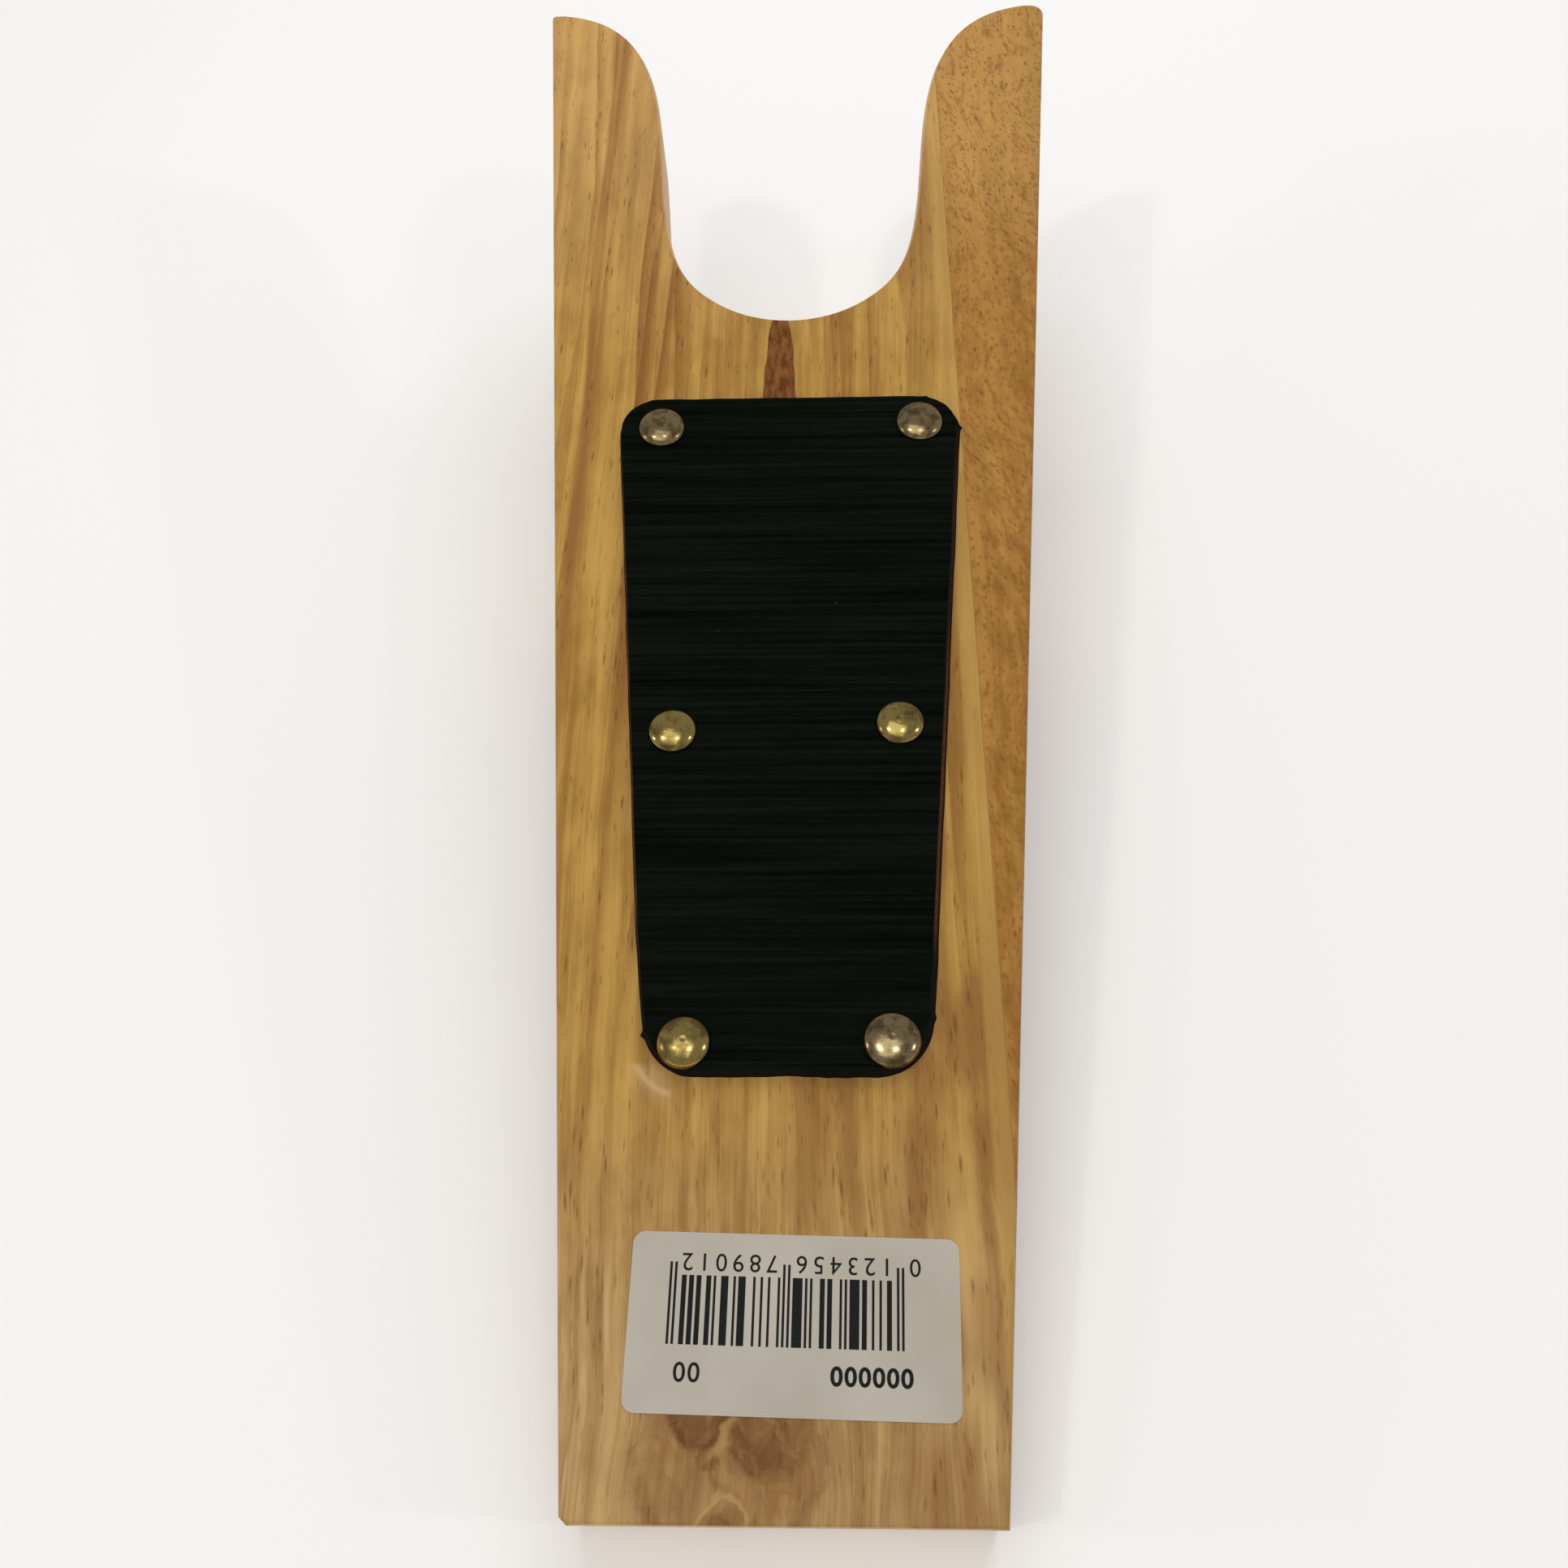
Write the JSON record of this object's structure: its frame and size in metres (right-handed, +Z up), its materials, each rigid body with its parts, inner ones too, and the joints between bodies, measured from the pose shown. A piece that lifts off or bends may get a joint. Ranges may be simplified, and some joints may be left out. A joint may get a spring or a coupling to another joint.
{
  "type": "boot jack",
  "caption": "Wooden boot jack: a tapered, inclined board with a round heel notch and flared horns, a ribbed rubber tread held by domed brass tacks, and a support block underneath.",
  "frame": {"origin": "centre of the bounding box's footprint, at the floor the jack stands on", "axes": "+Y along the board from the tail towards the heel notch, +X across the board to the right for a user at the tail, +Z up"},
  "size_m": [0.121, 0.3308, 0.0755],
  "materials": {
    "light_wood": "clear satin lacquer over light golden hardwood with straight grain",
    "dark_wood": "clear satin lacquer over orange-brown hardwood with short dark pores",
    "block_wood": "sanded hardwood under the same lacquer",
    "rubber": "near-black, finely ribbed across the board",
    "yellow_brass": "polished, lightly aged",
    "dull_brass": "worn plating, greyer than the others",
    "steel": "zinc-plated",
    "paper": "matt white label stock, a little grey",
    "print_ink": null
  },
  "bodies": {
    "root": {"main_stave": "light_wood", "edge_stave": "dark_wood", "support_block": "block_wood", "tread_pad": "rubber", "tack_top_left": "dull_brass", "tack_top_right": "dull_brass", "tack_middle_left": "yellow_brass", "tack_middle_right": "yellow_brass", "tack_bottom_left": "yellow_brass", "tack_bottom_right": "dull_brass", "block_screw_left": "steel", "block_screw_right": "steel", "paper_label": "paper"}
  },
  "joints": []
}
